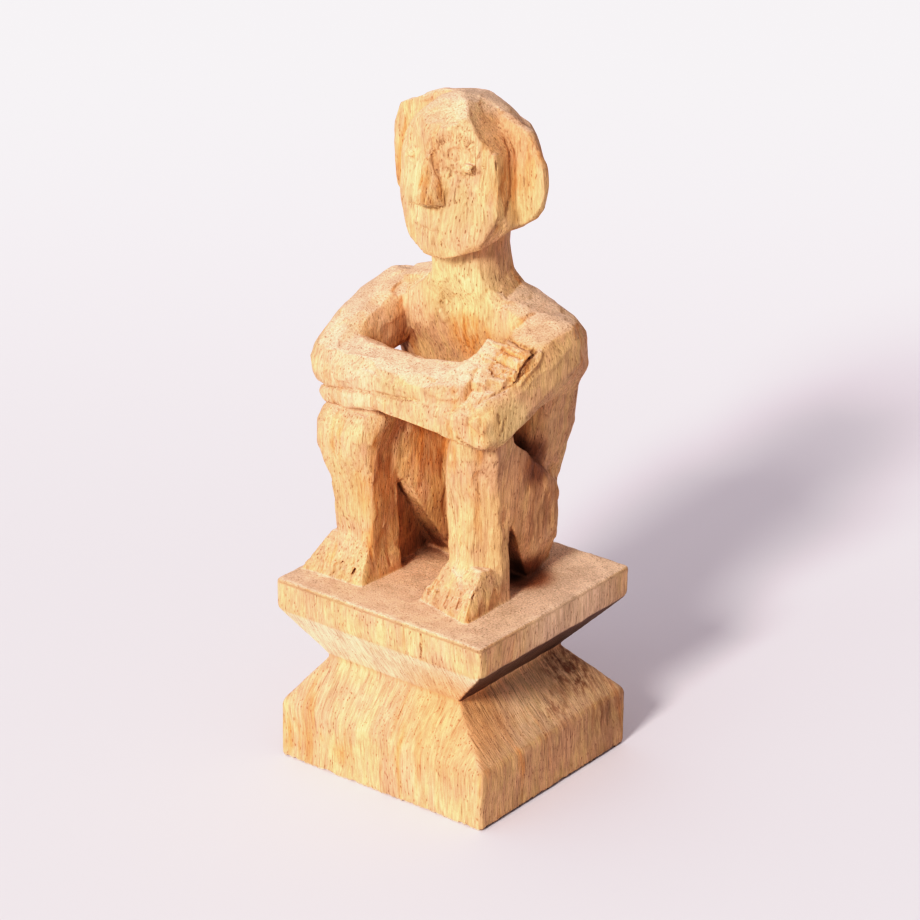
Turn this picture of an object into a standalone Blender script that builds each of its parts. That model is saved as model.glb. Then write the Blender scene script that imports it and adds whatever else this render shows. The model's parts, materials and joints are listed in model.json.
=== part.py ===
"""A seated rice god figure, carved with its hourglass plinth from one block of pale wood.

The figure sits on the plinth with its knees drawn up and its arms crossed on them, the right forearm
on top of the left one and the right hand laid on the left upper arm.

Metres, +Z up. The origin is the middle of the plinth's underside, and the figure faces -Y, so its own
left side is at +X. The figure's forms are shares of its height, written in 150ths of it: at the real
height of 150 mm one share is one millimetre. Places on the figure are counted from the middle of the
plinth's top.
"""

import math

import bmesh
import bpy
from mathutils import Vector

# Plinth: two blocks that taper to a waist.
BASE_WIDTH = 0.0760
BASE_DEPTH = 0.0720
BASE_SIDE_HEIGHT = 0.0185
WAIST_HEIGHT = 0.0337
WAIST_WIDTH = 0.0490
WAIST_DEPTH = 0.0500
WAIST_SHIFT = (-0.0022, -0.0017)
SLAB_UNDERSIDE = 0.0498
SLAB_THICKNESS = 0.0096
SLAB_WIDTH = 0.0764
SLAB_DEPTH = 0.0733
SLAB_SHIFT = (-0.0007, 0.0)
EDGE_CHAMFER = 0.0007

# Figure.
FIGURE_HEIGHT = 0.150
SHARE = FIGURE_HEIGHT / 150
SEAT = SLAB_UNDERSIDE + SLAB_THICKNESS
SUNK = 2.0
BODY_X = -1.0

LEFT, RIGHT = 1, -1
WOOD_COLOUR = (0.78, 0.56, 0.33, 1.0)
WOOD_ROUGHNESS = 0.62


def place(x, y, z):
    """A point of the figure, in shares of its height from the middle of the plinth's top."""
    return Vector((x * SHARE, y * SHARE, z * SHARE + SEAT))


def clear_scene():
    for old in list(bpy.data.objects):
        bpy.data.objects.remove(old, do_unlink=True)


def object_of(name, bm, collection):
    """A mesh object made from bm, in the collection, with its faces pointing out."""
    bmesh.ops.recalc_face_normals(bm, faces=bm.faces)
    mesh = bpy.data.meshes.new(name)
    bm.to_mesh(mesh)
    bm.free()
    made = bpy.data.objects.new(name, mesh)
    collection.objects.link(made)
    return made


def helper_collection(name):
    made = bpy.data.collections.new(name)
    bpy.context.scene.collection.children.link(made)
    return made


def as_helper(piece):
    piece.hide_render = True
    piece.display_type = "WIRE"
    return piece


def section(sides, squareness):
    """Points of a unit superellipse: squareness 2 is round, and 4 is nearly a square with cut corners."""
    points = []
    for k in range(sides):
        angle = 2 * math.pi * (k + 0.5) / sides
        c, s = math.cos(angle), math.sin(angle)
        x = math.copysign(abs(c) ** (2 / squareness), c)
        y = math.copysign(abs(s) ** (2 / squareness), s)
        points.append((x, y))
    widest = max(x for x, _ in points)
    return [(x / widest, y / widest) for x, y in points]


def loft(name, rings, collection):
    """A closed solid through rings of equal count, with a flat cap at each end."""
    bm = bmesh.new()
    rows = [[bm.verts.new(point) for point in ring] for ring in rings]
    for low, high in zip(rows, rows[1:]):
        for k in range(len(low)):
            after = (k + 1) % len(low)
            bm.faces.new((low[k], low[after], high[after], high[k]))
    bm.faces.new(rows[0])
    bm.faces.new(rows[-1])
    return as_helper(object_of(name, bm, collection))


def hull(name, points, collection):
    """The convex solid round some points, given in shares."""
    bm = bmesh.new()
    for point in points:
        bm.verts.new(place(*point))
    made = bmesh.ops.convex_hull(bm, input=bm.verts)
    inside = [v for v in made["geom_interior"] if isinstance(v, bmesh.types.BMVert)]
    bmesh.ops.delete(bm, geom=inside, context="VERTS")
    bmesh.ops.dissolve_limit(
        bm, angle_limit=math.radians(0.5), verts=bm.verts, edges=bm.edges
    )
    return as_helper(object_of(name, bm, collection))


def level_ring(x, y, z, half_x, half_y, squareness, sides=20):
    """A rounded section in a level plane."""
    return [
        place(x + half_x * a, y + half_y * b, z) for a, b in section(sides, squareness)
    ]


def pared_ring(x_span, y_span, z, cuts):
    """An oblong section in a level plane, with its corners cut off.

    The cuts run from the corner at low x and low y round to low x and high y.
    """
    (x0, x1), (y0, y1) = x_span, y_span
    corners = ((x0, y0, 1, 1), (x1, y0, -1, 1), (x1, y1, -1, -1), (x0, y1, 1, -1))
    ring = []
    for k, ((x, y, inward_x, inward_y), cut) in enumerate(zip(corners, cuts)):
        pair = [(x, y + inward_y * cut), (x + inward_x * cut, y)]
        if k % 2:
            pair.reverse()
        ring.extend(place(a, b, z) for a, b in pair)
    return ring


def limb_rings(stations, sides=8, squareness=3.0):
    """Sections square to a limb's run. A station is a centre, the half height and the half width."""
    centres = [Vector(centre) for centre, _, _ in stations]
    rings = []
    for k, (_, half_up, half_side) in enumerate(stations):
        before, after = centres[max(k - 1, 0)], centres[min(k + 1, len(centres) - 1)]
        along = (after - before).normalized()
        side = along.cross(Vector((0, 0, 1))).normalized()
        over = side.cross(along)
        ring = [
            centres[k] + over * half_up * b + side * half_side * a
            for a, b in section(sides, squareness)
        ]
        rings.append([place(*point) for point in ring])
    return rings


def crosswise(name, stations, collection):
    """A bar that runs from side to side. A station is its x and its outline as (y, z) points."""
    rings = [[place(x, y, z) for y, z in outline] for x, outline in stations]
    return loft(name, rings, collection)


def carved_block(name, low, high, cuts, collection):
    """A block pared down by flat cuts. A cut is a point on it and its outward direction."""
    bm = bmesh.new()
    bmesh.ops.create_cube(bm, size=1.0)
    for vert in bm.verts:
        vert.co = Vector(
            lo if c < 0 else hi for c, lo, hi in zip(vert.co, low, high)
        )
    for point, outward in cuts:
        geom = bm.verts[:] + bm.edges[:] + bm.faces[:]
        cut = bmesh.ops.bisect_plane(
            bm,
            geom=geom,
            dist=1e-6,
            plane_co=Vector(point),
            plane_no=Vector(outward),
            clear_outer=True,
        )
        rim = [e for e in cut["geom_cut"] if isinstance(e, bmesh.types.BMEdge)]
        if rim:
            bmesh.ops.contextual_create(bm, geom=rim)
    for vert in bm.verts:
        vert.co = place(*vert.co)
    return as_helper(object_of(name, bm, collection))


def both_sides(cuts, x):
    """The cuts, and their mirror images about the upright plane at x."""
    out = []
    for (px, py, pz), (nx, ny, nz) in cuts:
        out.append(((x + px, py, pz), (nx, ny, nz)))
        if abs(nx) > 1e-6:
            out.append(((x - px, py, pz), (-nx, ny, nz)))
    return out


def groove(name, start, end, down, width, depth, collection):
    """A V cut from start to end, as a wedge whose edge points along down."""
    start, end, down = Vector(start), Vector(end), Vector(down).normalized()
    across = (end - start).cross(down).normalized() * width / 2
    over = down * -depth
    points = []
    for tip in (start, end):
        points += [tip + down * depth, tip + over + across * 2, tip + over - across * 2]
    return hull(name, points, collection)


def step(target, name, operation, operands):
    """Adds one Boolean step with all of a collection's pieces."""
    made = target.modifiers.new(name, "BOOLEAN")
    made.operation = operation
    made.operand_type = "COLLECTION"
    made.collection = operands
    made.solver = "EXACT"


def plinth(collection):
    """The two tapered blocks as one loft of four-sided sections."""

    def corners(width, depth, z, shift=(0, 0)):
        return [
            Vector((shift[0] + sx * width / 2, shift[1] + sy * depth / 2, z))
            for sx, sy in ((-1, -1), (1, -1), (1, 1), (-1, 1))
        ]

    rings = [
        corners(BASE_WIDTH, BASE_DEPTH, 0),
        corners(BASE_WIDTH, BASE_DEPTH, BASE_SIDE_HEIGHT),
        corners(WAIST_WIDTH, WAIST_DEPTH, WAIST_HEIGHT, WAIST_SHIFT),
        corners(SLAB_WIDTH, SLAB_DEPTH, SLAB_UNDERSIDE, SLAB_SHIFT),
        corners(SLAB_WIDTH, SLAB_DEPTH, SEAT, SLAB_SHIFT),
    ]
    made = loft("plinth", rings, collection)
    made.hide_render = False
    made.display_type = "TEXTURED"
    bevel = made.modifiers.new("softened edges", "BEVEL")
    bevel.width = EDGE_CHAMFER
    bevel.segments = 1
    bevel.angle_limit = math.radians(25)
    bevel.limit_method = "ANGLE"
    return made


def torso(collection):
    """Pelvis, waist, chest and neck: centre y, z, half width, half depth and squareness of each level."""
    levels = [
        (18.4, -SUNK, 15.0, 9.6, 4.0),
        (18.4, 10, 16.0, 10.6, 4.0),
        (18.2, 28, 20.0, 11.0, 5.0),
        (18.4, 46, 24.8, 11.6, 5.0),
        (18.0, 58, 26.5, 11.6, 5.0),
        (17.0, 66, 30.4, 12.0, 5.0),
        (15.0, 75.5, 31.0, 12.8, 4.6),
        (13.4, 80.6, 28.4, 12.2, 4.0),
        (12.2, 84.4, 23.4, 11.4, 3.4),
        (10.8, 87.2, 18.0, 11.0, 3.0),
        (9.4, 89.8, 13.6, 10.8, 2.8),
        (8.2, 93.4, 11.3, 10.7, 2.6),
        (7.2, 99, 10.4, 10.6, 2.6),
        (7.0, 110, 10.4, 10.6, 2.6),
    ]
    rings = [level_ring(BODY_X, *level) for level in levels]
    loft("torso", rings, collection)
    yoke = [
        (-33.0, 8.0, 84.0), (-33.4, 15.0, 84.6), (-18.0, 5.0, 88.6), (-18.4, 13.0, 90.2),
        (-7.0, 4.0, 91.4), (-8.0, 14.0, 93.4), (-31.0, 8.0, 76.0), (-10.0, 3.0, 84.0),
        (-10.0, 20.0, 84.0), (-31.0, 18.0, 76.0),
    ]
    hull("right shoulder", yoke, collection)


def shins(collection):
    """Each level is the span in x, the span in y, its height and the cut of its four corners."""
    left = [
        ((9.0, 24.4), (-15.0, -3.0), -SUNK, (1.2, 5.6, 2.6, 3.0)),
        ((8.8, 24.4), (-15.4, -3.2), 10, (1.2, 5.6, 2.6, 3.0)),
        ((8.2, 23.8), (-15.6, -3.2), 18, (1.2, 5.6, 2.6, 3.0)),
        ((7.9, 23.2), (-16.4, -2.4), 30, (1.4, 5.2, 2.6, 3.0)),
        ((8.2, 23.8), (-17.4, -1.5), 40, (1.6, 5.2, 2.6, 3.0)),
        ((9.2, 24.8), (-18.8, -2.0), 47, (2.4, 5.0, 3.0, 3.0)),
        ((10.5, 25.4), (-19.6, -4.0), 53, (3.4, 5.0, 3.0, 3.0)),
        ((13.0, 23.5), (-18.0, -7.0), 57.5, (3.4, 4.4, 3.0, 3.0)),
    ]
    right = [
        ((-30.2, -15.6), (-20.0, -5.5), -SUNK, (3.0, 1.6, 1.4, 3.0)),
        ((-30.8, -15.6), (-20.4, -5.8), 10, (3.0, 1.6, 1.4, 3.0)),
        ((-31.4, -15.6), (-20.8, -6.4), 18, (3.2, 1.6, 1.6, 3.0)),
        ((-33.2, -15.4), (-22.0, -6.4), 30, (3.6, 2.2, 2.0, 3.0)),
        ((-36.0, -15.0), (-24.0, -5.0), 40, (3.4, 3.0, 3.0, 3.0)),
        ((-36.2, -13.6), (-24.4, -4.0), 46, (3.8, 4.0, 3.0, 3.0)),
        ((-35.0, -12.5), (-22.8, -4.0), 51, (4.6, 4.8, 3.0, 3.0)),
        ((-31.0, -15.0), (-19.6, -7.0), 56.0, (4.0, 4.0, 3.0, 3.0)),
    ]
    for name, levels in (("left", left), ("right", right)):
        rings = [pared_ring(*level) for level in levels]
        loft(f"{name} shin", rings, collection)


def feet(collection):
    """A foot is a low wedge, and its toes are parted by short cuts."""
    left = [
        (3.6, -21.4, -SUNK), (24.2, -26.4, -SUNK), (3.6, -21.2, 1.6), (24.2, -26.2, 2.2),
        (5.6, -19.4, 4.6), (23.4, -23.6, 6.0), (8.6, -15.2, 12.0), (22.6, -16.4, 13.0),
        (24.6, -19.0, -SUNK), (24.8, -14.0, 8.0), (9.2, -4.0, -SUNK), (23.2, -3.6, -SUNK),
        (9.2, -4.0, 8.0), (23.4, -3.8, 9.0),
    ]
    right = [
        (-37.0, -26.6, -SUNK), (-15.0, -25.9, -SUNK), (-37.0, -26.4, 1.4), (-15.0, -25.6, 2.0),
        (-34.6, -24.2, 5.2), (-15.8, -23.0, 5.8), (-30.6, -21.0, 12.4), (-17.0, -19.6, 12.6),
        (-13.8, -7.4, -SUNK), (-14.2, -8.0, 6.5), (-30.0, -8.0, -SUNK), (-30.0, -8.0, 8.0),
    ]
    hull("left foot", left, collection)
    hull("right foot", right, collection)


def toe_cuts(collection):
    toes = 4
    for name, inner, outer in (
        ("left", (3.6, -21.4), (24.2, -26.4)),
        ("right", (-36.2, -26.2), (-15.0, -25.9)),
    ):
        for k in range(toes):
            share = (k + 0.9) / (toes + 0.9)
            x = inner[0] + (outer[0] - inner[0]) * share
            y = inner[1] + (outer[1] - inner[1]) * share
            start = (x, y - 1.0, 1.0)
            end = (x + 0.4, y + 5.6, 7.6)
            groove(f"{name} toe cut {k}", start, end, (0, 0.5, -1), 1.0, 0.8, collection)


def haunches(collection):
    """Thigh and buttock of each side: one side view, whose width changes from the knee to the back."""
    side_view = [
        # y, z, outer x of the left one, outer x of the right one
        (-12.0, 51.0, 24.4, -33.0),
        (-4.0, 49.4, 24.8, -33.0),
        (13.0, 33.0, 23.4, -28.0),
        (18.0, 28.6, 24.0, -26.6),
        (29.0, 25.0, 15.0, -18.0),
        (30.2, 9.0, 14.2, -17.0),
        (27.0, -SUNK, 13.6, -16.0),
        (20.0, 12.0, 22.4, -25.4),
        (11.5, -SUNK, 18.4, -23.0),
        (10.0, 8.0, 21.4, -25.0),
        (-3.5, 22.5, 23.6, -31.0),
        (-10.0, 33.0, 23.6, -33.0),
    ]
    left, right = [], []
    for y, z, left_x, right_x in side_view:
        inner = 9.5 if y < 8 else 3.0
        left += [(left_x, y, z), (inner, y, z)]
        right += [(right_x, y, z), (-inner - 5.0, y, z)]
    hull("left haunch", left, collection)
    hull("right haunch", right, collection)


def upper_arms(collection):
    """Each limb runs from the shoulder down and forward to the elbow on the knee."""
    left = [
        ((25.0, 17.0, 76.0), 8.0, 7.0),
        ((25.4, 12.0, 75.2), 9.8, 9.0),
        ((25.2, 4.0, 72.6), 10.0, 8.6),
        ((24.2, -7.0, 66.4), 9.4, 7.4),
        ((23.0, -17.0, 59.6), 8.6, 6.0),
        ((22.6, -22.6, 57.8), 5.4, 4.6),
    ]
    right = [
        ((-28.0, 17.0, 76.0), 8.6, 7.4),
        ((-28.4, 12.0, 75.8), 10.6, 8.8),
        ((-29.6, 3.0, 74.0), 10.0, 8.2),
        ((-30.8, -8.0, 70.4), 9.0, 7.2),
        ((-31.2, -17.0, 66.2), 7.6, 6.4),
        ((-31.4, -20.4, 65.0), 5.4, 5.0),
    ]
    for name, stations in (("left", left), ("right", right)):
        rings = limb_rings(stations, sides=12, squareness=2.9)
        loft(f"{name} upper arm", rings, collection)


def forearms(collection):
    """The right forearm lies on the left one: x and the outline at each place."""
    right = [
        (-37.6, [(-14, 62), (-14, 69), (-17, 71), (-20.6, 68.6), (-21.6, 65.6), (-20.0, 62.4)]),
        (-35.0, [(-12, 59.6), (-12, 71.4), (-17, 73.8), (-22.4, 70.6), (-24.0, 65), (-22.2, 59.8)]),
        (-28.0, [(-11, 59), (-11, 72.4), (-16, 74.0), (-23, 71.6), (-25.4, 66), (-24.0, 59.4)]),
        (-14.0, [(-12, 61), (-12.4, 72.0), (-16, 73.4), (-23, 71.2), (-26.0, 67), (-25.6, 61)]),
        (0.0, [(-12, 62), (-12.6, 71.8), (-16, 73.2), (-23, 71.0), (-26.2, 68), (-26.2, 62.4)]),
        (12.0, [(-10, 64), (-11, 73.2), (-14, 74.8), (-21, 72.4), (-25.0, 69), (-25.2, 63.6)]),
        (19.0, [(-8, 66), (-7.4, 76.4), (-8.4, 77.8), (-17.6, 73.4), (-23.0, 69), (-23.6, 65)]),
    ]
    left = [
        (-35.2, [(-16, 53.8), (-16, 56.4), (-17, 57.4), (-19, 57.4), (-20.4, 56.4), (-19.6, 54)]),
        (-32.4, [(-12, 52.8), (-12, 58), (-14, 60), (-20.6, 59.4), (-23.2, 57.4), (-22.0, 53.6)]),
        (-22.0, [(-12, 53.6), (-12, 60), (-14, 61), (-22, 61), (-25.4, 59.8), (-24.6, 55.0)]),
        (-8.0, [(-12, 55.6), (-12, 62), (-14, 63), (-22, 63), (-26.4, 62), (-26.0, 57.6)]),
        (8.0, [(-12, 54.2), (-12, 64), (-14, 65), (-22, 65), (-26.4, 63.6), (-25.8, 56.6)]),
        (20.0, [(-12, 52.6), (-12, 65), (-14, 66), (-22, 66.4), (-25.6, 64), (-24.6, 54.6)]),
        (27.0, [(-14, 54.2), (-14, 64), (-15, 66), (-19, 66), (-21.8, 62), (-21.4, 53.8)]),
    ]
    crosswise("right forearm", right, collection)
    crosswise("left forearm", left, collection)


def hand_point(across, along, lift):
    """A place on the back of the right hand: across the arm, down along it, and off its surface."""
    x = 17.2 + across
    y = -5.6 - along * 0.80 - lift * 0.45 - across * 0.02
    z = 80.7 - along * 0.60 + lift * 0.85 - across * 0.08
    return (x, y, z)


def right_hand(collection):
    """Four fingers laid side by side across the left upper arm, with the thumb below them."""
    pitch, gap = 3.3, 0.5
    reaches = (13.8, 13.6, 13.0, 11.0, 6.6)
    for k, reach in enumerate(reaches):
        low, high = k * pitch + gap / 2, (k + 1) * pitch - gap / 2
        points = []
        for across in (-2.0, reach):
            for along, lift in ((low, -4.0), (high, -4.0), (low, 0.1), (high, 0.1)):
                points.append(hand_point(across, along, lift))
            points.append(hand_point(across * 0.97, (low + high) / 2, 0.6))
        hull(f"finger {k}", points, collection)
    palm = [hand_point(across, along, lift) for across, along, lift in (
        (0.6, 0.4, 0.4), (0.6, 16.0, 0.2), (1.0, 1.0, -5.0), (1.0, 15.0, -6.0),
    )]
    wrist = [(13.0, -12, 64), (14.0, -12, 73.0), (14.0, -15, 74.4), (11.0, -22, 71.8), (10.0, -25.4, 68.6)]
    hull("palm", palm + wrist, collection)


def eye_sockets(collection):
    """A shallow hollow under each brow, which runs out on the cheek."""
    outline = (
        (1.8, -16.0, 133.6), (14.8, -10.0, 135.6), (1.8, -10.6, 134.6), (14.8, -4.4, 136.4),
        (5.6, -16.5, 121.0), (15.4, -11.6, 121.0), (5.6, -10.2, 121.0), (14.8, -5.7, 121.0),
        (4.6, -10.3, 129.0), (14.8, -5.1, 129.0),
    )
    for name, side in (("left", LEFT), ("right", RIGHT)):
        points = [(BODY_X + side * a, b, c) for a, b, c in outline]
        hull(f"{name} socket", points, collection)


def head(collection, sockets):
    """Skull and face as one pared block, the ears as a flange round it, and the nose."""
    x = BODY_X
    cuts = both_sides(
        [
            # face planes, from the middle ridge back to the cheek's edge
            ((0, -12.6, 125), (0.44, -0.90, 0.03)),
            ((0, -13.4, 111), (0.44, -0.89, -0.12)),
            ((17.2, -3.6, 126), (0.99, 0.06, 0.05)),
            ((16.6, 6.5, 130), (0.93, 0.08, 0.36)),
            ((14.0, 6.5, 136), (0.76, 0.02, 0.65)),
            # jaw and chin
            ((16.4, -3.0, 113), (0.90, -0.22, -0.38)),
            ((0, -10.8, 102.8), (0, -0.80, -0.60)),
            ((0, -9.0, 102.7), (0, 0.46, -0.89)),
            # brow, forehead and crown
            ((0, -12.4, 137), (0.0, -0.86, 0.51)),
            ((12, -7.4, 138), (0.48, -0.72, 0.52)),
            ((0, -7.4, 143.0), (0.0, -0.62, 0.78)),
            ((12, -3.6, 142.4), (0.42, -0.44, 0.79)),
            ((0, -1.0, 147.4), (0.0, -0.30, 0.95)),
            ((0, 6.0, 147.4), (0.14, 0.14, 0.98)),
            ((11, 6.0, 142.6), (0.46, 0.12, 0.88)),
            # back of the head
            ((0, 14.0, 142.8), (0.0, 0.50, 0.86)),
            ((11, 15.0, 136.8), (0.52, 0.56, 0.64)),
            ((0, 20.6, 135), (0.0, 0.86, 0.50)),
            ((0, 22.6, 124), (0.0, 1.0, 0.05)),
            ((12, 18.6, 124), (0.62, 0.78, 0.0)),
            ((0, 21.0, 111), (0.0, 0.80, -0.60)),
            ((12, 17.0, 111), (0.55, 0.55, -0.62)),
        ],
        x,
    )
    cuts += [
        # the jaw's two corners are pared unequally
        ((x + 12.6, -6.0, 106.4), (0.60, -0.36, -0.71)),
        ((x - 12.6, -6.0, 105.0), (-0.66, -0.40, -0.64)),
    ]
    skull = carved_block(
        "skull", (x - 17.6, -16, 101.8), (x + 17.6, 23, 148.0), cuts, collection
    )
    step(skull, "eye sockets", "DIFFERENCE", sockets)
    left_rim = [
        (0, 146.6), (5.2, 145.2), (9.7, 143.5), (14.6, 140.9), (20.0, 138.8), (23.4, 132.8),
        (25.3, 128.7), (25.9, 122.6), (24.6, 116.9), (21.9, 113.2), (15.2, 108.6), (8, 107),
    ]
    right_rim = [
        (6.0, 146.2), (12.0, 145.0), (18.4, 142.2), (23.0, 139.8), (26.6, 138.0), (28.6, 133.0),
        (28.4, 122.6), (27.4, 114.0), (22.0, 108.4), (15.0, 106.4),
    ]
    outline = left_rim + [(-rx, rz) for rx, rz in reversed(right_rim)]

    def flange(y, width, height):
        middle = 124.0
        return [place(x + rx * width, y, middle + (rz - middle) * height) for rx, rz in outline]

    shapes = ((6.2, 0.985, 0.99), (6.9, 1.0, 1.0), (9.0, 1.0, 1.0), (12.0, 0.86, 0.97), (16.0, 0.74, 0.92))
    loft("ears", [flange(*shape) for shape in shapes], collection)
    nose = [
        (-0.9, -12.0, 134.5), (0.9, -12.0, 134.5), (-0.7, -13.4, 133.0), (0.7, -13.4, 133.0),
        (-4.4, -10.0, 118.6), (4.4, -10.0, 118.6), (-4.3, -13.2, 119.0), (4.3, -13.2, 119.0),
        (-0.9, -18.6, 120.2), (0.9, -18.6, 120.2), (0, -8, 135), (0, -8, 118.6),
    ]
    hull("nose", [(x + a, b, c) for a, b, c in nose], collection)
    for name, side in (("left", LEFT), ("right", RIGHT)):
        eye = [
            (x + side * 10.6 + 1.5 * math.cos(a), -8.4 + lift, 130.0 + 1.3 * math.sin(a))
            for lift in (-0.7, 1.8)
            for a in (math.pi * k / 3 for k in range(6))
        ]
        hull(f"{name} eye", eye, collection)


def fine_cuts(collection):
    """The mouth, the fold down the chest and the cuts round the hand."""
    x = BODY_X
    groove("mouth", (x - 5.6, -14.0, 110.6), (x + 5.6, -14.0, 111.0), (0, 1, -0.2), 0.9, 0.9, collection)
    groove("chest fold", (x - 5.2, 1.0, 86.0), (x - 1.0, 2.6, 75.0), (0, 1, -0.2), 1.2, 0.8, collection)
    tips = hand_point(14.2, -0.9, 0), hand_point(12.8, 16.6, 0)
    top = hand_point(1.0, -0.5, 0.2), hand_point(14.6, -0.5, 0)
    for name, (start, end) in (("fingertip cut", tips), ("hand cut", top)):
        groove(name, start, end, (0, 0.45, -0.85), 1.0, 1.6, collection)


def wood():
    made = bpy.data.materials.new("pale wood")
    made.use_nodes = True
    shader = made.node_tree.nodes["Principled BSDF"]
    shader.inputs["Base Color"].default_value = WOOD_COLOUR
    shader.inputs["Roughness"].default_value = WOOD_ROUGHNESS
    shader.inputs["Metallic"].default_value = 0.0
    return made


def main():
    clear_scene()
    pieces = helper_collection("figure pieces")
    sockets = helper_collection("eye sockets")
    cuts = helper_collection("fine cuts")
    base = plinth(bpy.context.scene.collection)
    base.name = "rice_god_figure"
    for build in (torso, shins, feet, haunches, upper_arms, forearms, right_hand):
        build(pieces)
    eye_sockets(sockets)
    head(pieces, sockets)
    toe_cuts(cuts)
    fine_cuts(cuts)
    step(base, "figure", "UNION", pieces)
    step(base, "fine cuts", "DIFFERENCE", cuts)
    base.data.materials.append(wood())


main()
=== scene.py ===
"""The finished surface of a seated rice god figure, carved with its plinth from one block of pale wood.

The solid of the frame gives the form, and a web of wood behind the right shin is added to it. Its mesh
is made fine, its hard edges are eased, and then the knife's facets, the cuts of the face, hand and feet,
the torn fibres and the crack in the slab are carved into it. The wood's colour, streaks, pores and fine
grain are made by the shader, and painted light and painted shade lie in that colour.

Metres, +Z up, and the figure faces -Y. Places on the figure are in millimetres, and their heights are
counted from the top of the plinth, on which the figure sits.
"""

import json
import math

import bmesh
import bpy
import numpy as np
from mathutils import Matrix, Vector, kdtree
from mathutils.bvhtree import BVHTree


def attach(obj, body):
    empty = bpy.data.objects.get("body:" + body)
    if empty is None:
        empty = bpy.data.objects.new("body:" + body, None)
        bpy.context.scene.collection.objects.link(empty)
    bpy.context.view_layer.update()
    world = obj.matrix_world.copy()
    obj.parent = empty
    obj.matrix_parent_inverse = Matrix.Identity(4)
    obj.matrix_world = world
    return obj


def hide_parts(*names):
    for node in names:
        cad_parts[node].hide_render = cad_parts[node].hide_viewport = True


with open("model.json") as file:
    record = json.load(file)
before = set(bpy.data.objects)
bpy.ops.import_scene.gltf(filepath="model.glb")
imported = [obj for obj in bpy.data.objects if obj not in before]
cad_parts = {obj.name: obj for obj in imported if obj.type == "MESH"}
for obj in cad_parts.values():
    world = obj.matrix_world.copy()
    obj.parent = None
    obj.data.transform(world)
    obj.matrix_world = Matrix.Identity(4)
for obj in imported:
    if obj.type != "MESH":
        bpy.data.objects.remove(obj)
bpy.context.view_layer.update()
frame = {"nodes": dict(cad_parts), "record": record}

MM = 0.001
NODE = "rice_god_figure"
SLOT = frame["record"]["materials"][0]["slot"]

# The height of the plinth's top, and the middle of the body from side to side.
SEAT = 59.4
BODY_X = -1.0

# The fine mesh: the size of its faces, and how many triangles are left at the end.
VOXEL = 0.4
TRIANGLES = 195000

# How many steps of easing the whole object gets before the carving, the figure and the head on top of
# that, and the whole object again once the facets are cut.
EASE_WHOLE = 3
EASE_FIGURE = 7
EASE_HEAD = 16
EASE_FACETS = 1

# The neck, over whose height the head's easing grows from none to full.
NECK = (99.0, 106.0)

# The nose keeps its edges: its middle, how far round it the head isn't eased further, and where the
# easing is full.
NOSE_MIDDLE = (-1.0, -15.0, 125.0)
NOSE_KEPT = 8.0
NOSE_FREE = 13.0

# The crossed forearms and the upper arms, along which the knife ran: how far from the middle of the body
# they lie in x, where in y, and at what height.
FOREARMS = ((-1.0, 26.0), (-50.0, -9.0), (53.0, 76.0))
UPPER_ARMS = ((19.0, 50.0), (-22.0, 16.0), (56.0, 88.0))

# The facets of the knife: how many points of the wood are tried for a facet's middle, how far apart the
# middles lie, how many of them are weighed at a point, how much of the distance along the limb isn't
# counted, which makes facets longer that way, how sharply they meet, how far they tilt at random, and
# the most that they rise or sink.
FACET_SAMPLE = 16000
FACET_SPACING = 4.0
FACET_NEIGHBOURS = 7
FACET_STRETCH = 0.84
FACET_SHARPNESS = 2.2
FACET_TILT = 0.035
FACET_LIMIT = 0.34

# Low waves of the wood's surface: how fast they change in x, y and z, their seed and their height.
WAVES = (
    ((0.30, 0.30, 0.12), 5, 0.10),
    ((1.1, 1.1, 0.22), 6, 0.055),
    ((2.0, 2.0, 0.5), 7, 0.03),
)

# Where the rim of the underside begins and where it is full, from the middle in x or y.
RIM = (33.5, 35.6)

# How far off wood still shuts hollows in, the number of directions that are looked in, and the steps
# that smooth the result. How shut in a place is sets the painted shade of the hollows.
HOLLOW_REACH = 28.0
HOLLOW_RAYS = 14
HOLLOW_STEPS = 3

# The camera that the photograph's perspective gives, with its distance and target in metres.
AZIMUTH = 37.6
ELEVATION = 23.45
ROLL = 0.65
DISTANCE = 1.0936
TARGET = (-0.03747, 0.05024, 0.0684)
SENSOR = 36.0
LENS = 136.96

# The light. An azimuth turns from straight before the figure towards its own left.
LAMP_COLOUR = (1.0, 0.97, 0.93)
KEY_AZIMUTH = 8.0
KEY_ELEVATION = 30.0
KEY_STRENGTH = 3.1
KEY_ANGLE = 12.0
FRONT_AZIMUTH = -12.0
FRONT_ELEVATION = 4.0
FRONT_STRENGTH = 1.3
FRONT_ANGLE = 50.0
SKY_COLOUR = (0.98, 0.93, 0.99)
SKY_BRIGHT_SIDE = (-0.62, -0.30, 0.72)
SKY_DARK = 0.12
SKY_BRIGHT = 0.77
# How the picture's tones run from light in the scene: a soft shoulder and a slightly deeper toe.
TONES = ((0.0, 0.0), (0.05, 0.020), (0.15, 0.10), (0.32, 0.29), (0.60, 0.605), (0.88, 0.865),
         (1.20, 0.935), (2.0, 1.0))

# The floor, in metres: half its width, its colour near the camera and, paler with painted light, far
# from it, and where the one changes to the other, counted from the figure away from the camera.
FLOOR_HALF = 4.0
FLOOR_COLOUR = (0.775, 0.72, 0.75, 1.0)
FLOOR_FAR_PAINTED_LIGHT = (0.97, 0.885, 0.945, 1.0)
FLOOR_CHANGE = (0.08, 0.75)
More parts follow.
